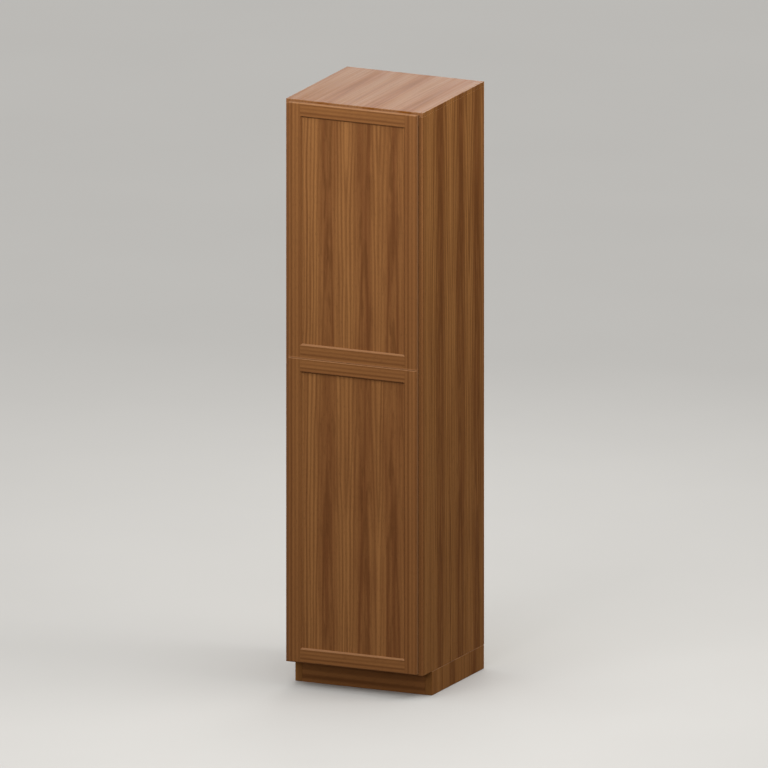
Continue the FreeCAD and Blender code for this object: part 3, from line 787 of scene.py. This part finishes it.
@dataclass
class Door:
    """One framed door: straight-grained members round a flat-cut panel.

    Attributes:
        name: Which door it is.
        number: Its place from the floor up, which tells its frame's boards from the other door's.
        joint: Height of the joint of the two doors, in metres.
        hearts: Middle and depth of the panel's arches, in millimetres.
        panel_slices: Which slice of the log the lower and the upper door's panel come from.
        stile_lines: One pale line of the hinge and free stile, in millimetres from its middle.
        rail_lines: One pale line of the bottom and top rail, in millimetres from its middle.
        edge: Least part of a face's normal to the free side that makes it the free edge.
        highlight_rise: How far above the joint of the doors the band of painted highlight lies, in
            metres.
    """

    name: str
    number: int
    joint: float
    hearts: Hearts = ((-114.0, 24.0), (48.0, 27.0), (176.0, 22.0))
    panel_slices: tuple[int, int] = (5, 2)
    stile_lines: tuple[float, float] = (-6.3, 0.5)
    rail_lines: tuple[float, float] = (-4.5, -1.4)
    edge: float = 0.9
    highlight_rise: float = 0.001

    def painted_highlight_slot(self, face: bpy.types.MeshPolygon) -> int:
        """Tells ledges and the free edge, which take the paler walnut of painted highlight, from
        the other faces.
        """
        return int(face.normal.z > LEDGE or face.normal.x > self.edge)

    def dress(self, rubber: bpy.types.Material) -> None:
        """Dresses the door's members, its panel and its bumpers.

        Args:
            rubber: The bumpers' material.
        """
        stem = f"{self.name}_door"
        stiles = zip(("hinge_stile", "free_stile"), self.stile_lines)
        rails = zip(("bottom_rail", "top_rail"), self.rail_lines)
        members = [(*stile, Lay.FRONT_UPRIGHT) for stile in stiles]
        members += [(*rail, Lay.FRONT_LEVEL) for rail in rails]
        for number, (kind, line, lay) in enumerate(members, len(members) * self.number):
            member = f"{stem}_{kind}"
            # The band of painted highlight lies just above the doors' joint.
            figure = Figure(lay, (), line, number, self.joint + self.highlight_rise)
            # Ledges and the free edge take the paler walnut of painted highlight.
            dress(member, *(wood.cut(member, figure) for wood in (WALNUT, WALNUT_PAINTED_HIGHLIGHT)))
            share_faces(member, self.painted_highlight_slot)
        panel = f"{stem}_panel"
        dress(panel, WALNUT.cut(panel, Figure(
            Lay.FRONT_UPRIGHT, self.hearts, slice_number=self.panel_slices[self.number])))
        dress(f"{stem}_bumpers", rubber)


@dataclass
class Hinges:
    """The concealed hinges of one door.

    Attributes:
        name: Which door they carry.
    """

    name: str

    def dress(self, nickel: bpy.types.Material) -> None:
        """Dresses cups, pins, arms, plates and their screws in nickelled steel."""
        for part in ("cups", "cup_screws", "pins", "arms", "plates", "plate_screws"):
            dress(f"{self.name}_hinge_{part}", nickel)


@dataclass
class LooseShelf:
    """One loose shelf with an ironed-on edge band along its front, sizes in metres.

    Attributes:
        node: The shelf's node.
        number: Its place from the floor up.
        hearts: Middle and depth of its arches, in millimetres.
        first_slice: Which slice of the log the lower shelf comes from.
        first_band_slice: Which slice the lower shelf's band comes from.
        band_thickness: Thickness of the band.
        band_round: How far its front edges are rounded.
        round_steps: How many flats make up a rounding.
        tolerance: How near to the band's front an edge has to lie to be rounded.
    """

    node: str
    number: int
    hearts: Hearts = ((-140.0, 22.0), (60.0, 19.0))
    first_slice: int = 3
    first_band_slice: int = 8
    band_thickness: float = 0.0008
    band_round: float = 0.0003
    round_steps: int = 3
    tolerance: float = 1e-6

    def build_band(self) -> bpy.types.Object:
        """Models the band: a slab on the shelf's front edge with its own front edges rounded.

        Returns:
            The finished band, riding on the box.
        """
        low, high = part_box(self.node)
        bpy.ops.object.select_all(action="DESELECT")
        middle = (low + high) / 2
        bpy.ops.mesh.primitive_cube_add(
            size=1.0, location=(middle.x, low.y - self.band_thickness / 2, middle.z))
        band = bpy.context.active_object
        band.name = f"{self.node}_edge_band"
        band.scale = (high.x - low.x, self.band_thickness, high.z - low.z)
        bpy.ops.object.transform_apply(location=True, rotation=True, scale=True)
        front = low.y - self.band_thickness
        bpy.ops.object.mode_set(mode="EDIT")
        bpy.ops.mesh.select_all(action="DESELECT")
        bpy.ops.object.mode_set(mode="OBJECT")
        for edge in band.data.edges:
            ends = [band.data.vertices[index].co for index in edge.vertices]
            edge.select = all(abs(end.y - front) < self.tolerance for end in ends)
        bpy.ops.object.mode_set(mode="EDIT")
        bpy.ops.mesh.select_mode(type="EDGE")
        bpy.ops.mesh.bevel(offset=self.band_round, segments=self.round_steps)
        bpy.ops.object.mode_set(mode="OBJECT")
        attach(band, "cabinet")
        return band

    def dress(self) -> None:
        """Dresses the shelf and its band in maple."""
        figure = Figure(
            Lay.SHELF_LEVEL, self.hearts, slice_number=self.number + self.first_slice)
        dress(self.node, MAPLE.cut(self.node, figure))
        band = self.build_band()
        strip = Figure(Lay.SHELF_LEVEL, slice_number=self.number + self.first_band_slice)
        band.data.materials.append(MAPLE.cut(self.node, strip))
        LOG.info("built %s", band.name)


@dataclass(frozen=True)
class SoftBox:
    """A rectangular lamp behind a diffuser, sizes in metres.

    Attributes:
        name: The lamp's name.
        place: Where it hangs.
        target: What it faces.
        size: Its width and height.
        power: Its power in watts.
    """

    name: str
    place: Place
    target: Place
    size: tuple[float, float]
    power: float

    def hang(self) -> None:
        """Hangs the lamp, unseen by the camera."""
        facing = Vector(self.target) - Vector(self.place)
        bpy.ops.object.light_add(
            type="AREA", location=self.place,
            rotation=facing.to_track_quat("-Z", "Y").to_euler())
        lamp = bpy.context.active_object
        lamp.name = self.name
        lamp.data.shape = "RECTANGLE"
        lamp.data.size, lamp.data.size_y = self.size
        lamp.data.energy = self.power
        lamp.visible_camera = False


@dataclass
class Studio:
    """A pale floor, an even pale room, soft lamps and the camera, sizes in metres.

    Attributes:
        floor_size: Length of the floor's sides.
        floor_colour: Colour of the floor's lighter patches.
        floor_shade: Colour of its darker patches.
        bounce_colour: Colour that it has for the light it throws back at the cupboard.
        mottle_mm: Size of one patch, in millimetres.
        floor_rough: Roughness of the floor's paint.
        floor_gloss: Strength of its reflections.
        room_colour: Colour of the room's light.
        wall_strength: Strength of the light from the walls.
        ceiling_strength: Strength of the light from straight above.
        ceiling_rise: Power by which the light grows from the walls to straight above.
        lamps: The soft boxes.
        azimuth_deg: How far the camera stands to the right of the front, in degrees.
        elevation_deg: How far it looks down, in degrees.
        view_width: Width of its parallel view.
        view_distance: How far away it stands.
        aim: What it looks at.
    """

    floor_size: float = 60.0
    floor_colour: str = "#C6C4C0"
    floor_shade: str = "#C2C0BC"
    bounce_colour: str = "#554D45"
    mottle_mm: float = 900.0
    floor_rough: float = 0.9
    floor_gloss: float = 0.1
    room_colour: str = "#FFFFFF"
    wall_strength: float = 0.36
    ceiling_strength: float = 1.42
    ceiling_rise: float = 2.0
    lamps: tuple[SoftBox, ...] = (
        SoftBox("key_soft_box", (-0.25, -2.35, 3.5), (0.0, -0.3, 2.0), (1.6, 1.6), 44.5),
        SoftBox("side_soft_box", (2.3, 0.3, 3.7), (0.3, 0.0, 1.7), (1.6, 1.6), 41.0),
        SoftBox("fill_soft_box", (1.3, -4.2, 1.7), (0.0, -0.3, 1.0), (2.6, 0.9), 31.5),
        SoftBox("back_soft_box", (-1.0, 4.2, 3.7), (0.0, 0.0, 2.44), (2.6, 1.6), 53.0),
    )
    azimuth_deg: float = 24.616
    elevation_deg: float = 13.828
    view_width: float = 3.0991
    view_distance: float = 8.0
    aim: Place = (0.0, 0.0, 1.22)

    def build_floor(self) -> None:
        """Lays the floor, matt painted and very faintly mottled.

        It is paler to rays that are seen than to light that bounces, so that it doesn't wash out
        the wood.
        """
        bpy.ops.object.select_all(action="DESELECT")
        bpy.ops.mesh.primitive_plane_add(size=self.floor_size)
        floor = bpy.context.active_object
        floor.name = "studio_floor"
        made, tree = new_material("matt_floor_paint")
        places = add_node(tree, "ShaderNodeTexCoord", {})
        mottle = add_node(tree, "ShaderNodeTexNoise", {
            "Vector": places.outputs["Object"], "Scale": MM_PER_M / self.mottle_mm})
        colour = add_node(tree, "ShaderNodeMix", {
            "Factor": mottle, "A": to_linear(self.floor_shade), "B": to_linear(self.floor_colour),
        }, data_type="RGBA")
        rays = add_node(tree, "ShaderNodeLightPath", {}).outputs
        seen = rays["Is Camera Ray"]
        for kind in ("Is Glossy Ray", "Is Transmission Ray"):
            seen = add_node(tree, "ShaderNodeMath", {0: seen, 1: rays[kind]}, operation="MAXIMUM")
        colour = add_node(tree, "ShaderNodeMix", {
            "Factor": seen, "A": to_linear(self.bounce_colour), "B": colour}, data_type="RGBA")
        paint = add_node(tree, "ShaderNodeBsdfPrincipled", {
            "Base Color": colour, "Roughness": self.floor_rough,
            "Specular IOR Level": self.floor_gloss})
        add_node(tree, "ShaderNodeOutputMaterial", {"Surface": paint})
        floor.data.materials.append(made)

    def light_room(self) -> None:
        """Fills the room with soft light, stronger from the ceiling than from the walls."""
        world = bpy.data.worlds.new("pale_room")
        bpy.context.scene.world = world
        world.use_nodes = True
        tree = world.node_tree
        tree.nodes.clear()
        places = add_node(tree, "ShaderNodeTexCoord", {})
        ways = add_node(tree, "ShaderNodeSeparateXYZ", {"Vector": places.outputs["Generated"]})
        rise = add_node(tree, "ShaderNodeMath", {
            0: ways.outputs["Z"], 1: self.ceiling_rise}, operation="POWER")
        strength = add_node(tree, "ShaderNodeMapRange", {
            "Value": rise, "To Min": self.wall_strength, "To Max": self.ceiling_strength})
        glow = add_node(tree, "ShaderNodeBackground", {
            "Color": to_linear(self.room_colour), "Strength": strength})
        add_node(tree, "ShaderNodeOutputWorld", {"Surface": glow})

    def place_camera(self) -> None:
        """Sets the camera to the photograph's parallel view."""
        turn, rise = radians(self.azimuth_deg), radians(self.elevation_deg)
        back = Vector((sin(turn) * cos(rise), -cos(turn) * cos(rise), sin(rise)))
        bpy.ops.object.camera_add(
            location=Vector(self.aim) + back * self.view_distance,
            rotation=(-back).to_track_quat("-Z", "Y").to_euler())
        camera = bpy.context.active_object
        camera.data.type = "ORTHO"
        camera.data.ortho_scale = self.view_width
        bpy.context.scene.camera = camera

    def build(self) -> None:
        """Builds floor, light and camera."""
        self.build_floor()
        self.light_room()
        for lamp in self.lamps:
            lamp.hang()
        self.place_camera()
        bpy.context.scene.view_settings.view_transform = "Standard"
        LOG.info("built the studio")


def main() -> None:
    """Builds and dresses the cupboard, then the studio round it."""
    logging.basicConfig(level=logging.INFO)
    nickel = NickelSteel().material()
    rubber = GreyRubber().material()
    Plinth().dress()
    Box().dress()
    FaceFrame().dress()
    joint = (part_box("lower_door_top_rail")[1].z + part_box("upper_door_bottom_rail")[0].z) / 2
    for number, name in enumerate(("lower", "upper")):
        Door(name, number, joint).dress(rubber)
        Hinges(name).dress(nickel)
        LooseShelf(f"{name}_loose_shelf", number).dress()
    dress("shelf_pins", nickel)
    Studio().build()


if __name__ == "__main__":
    main()
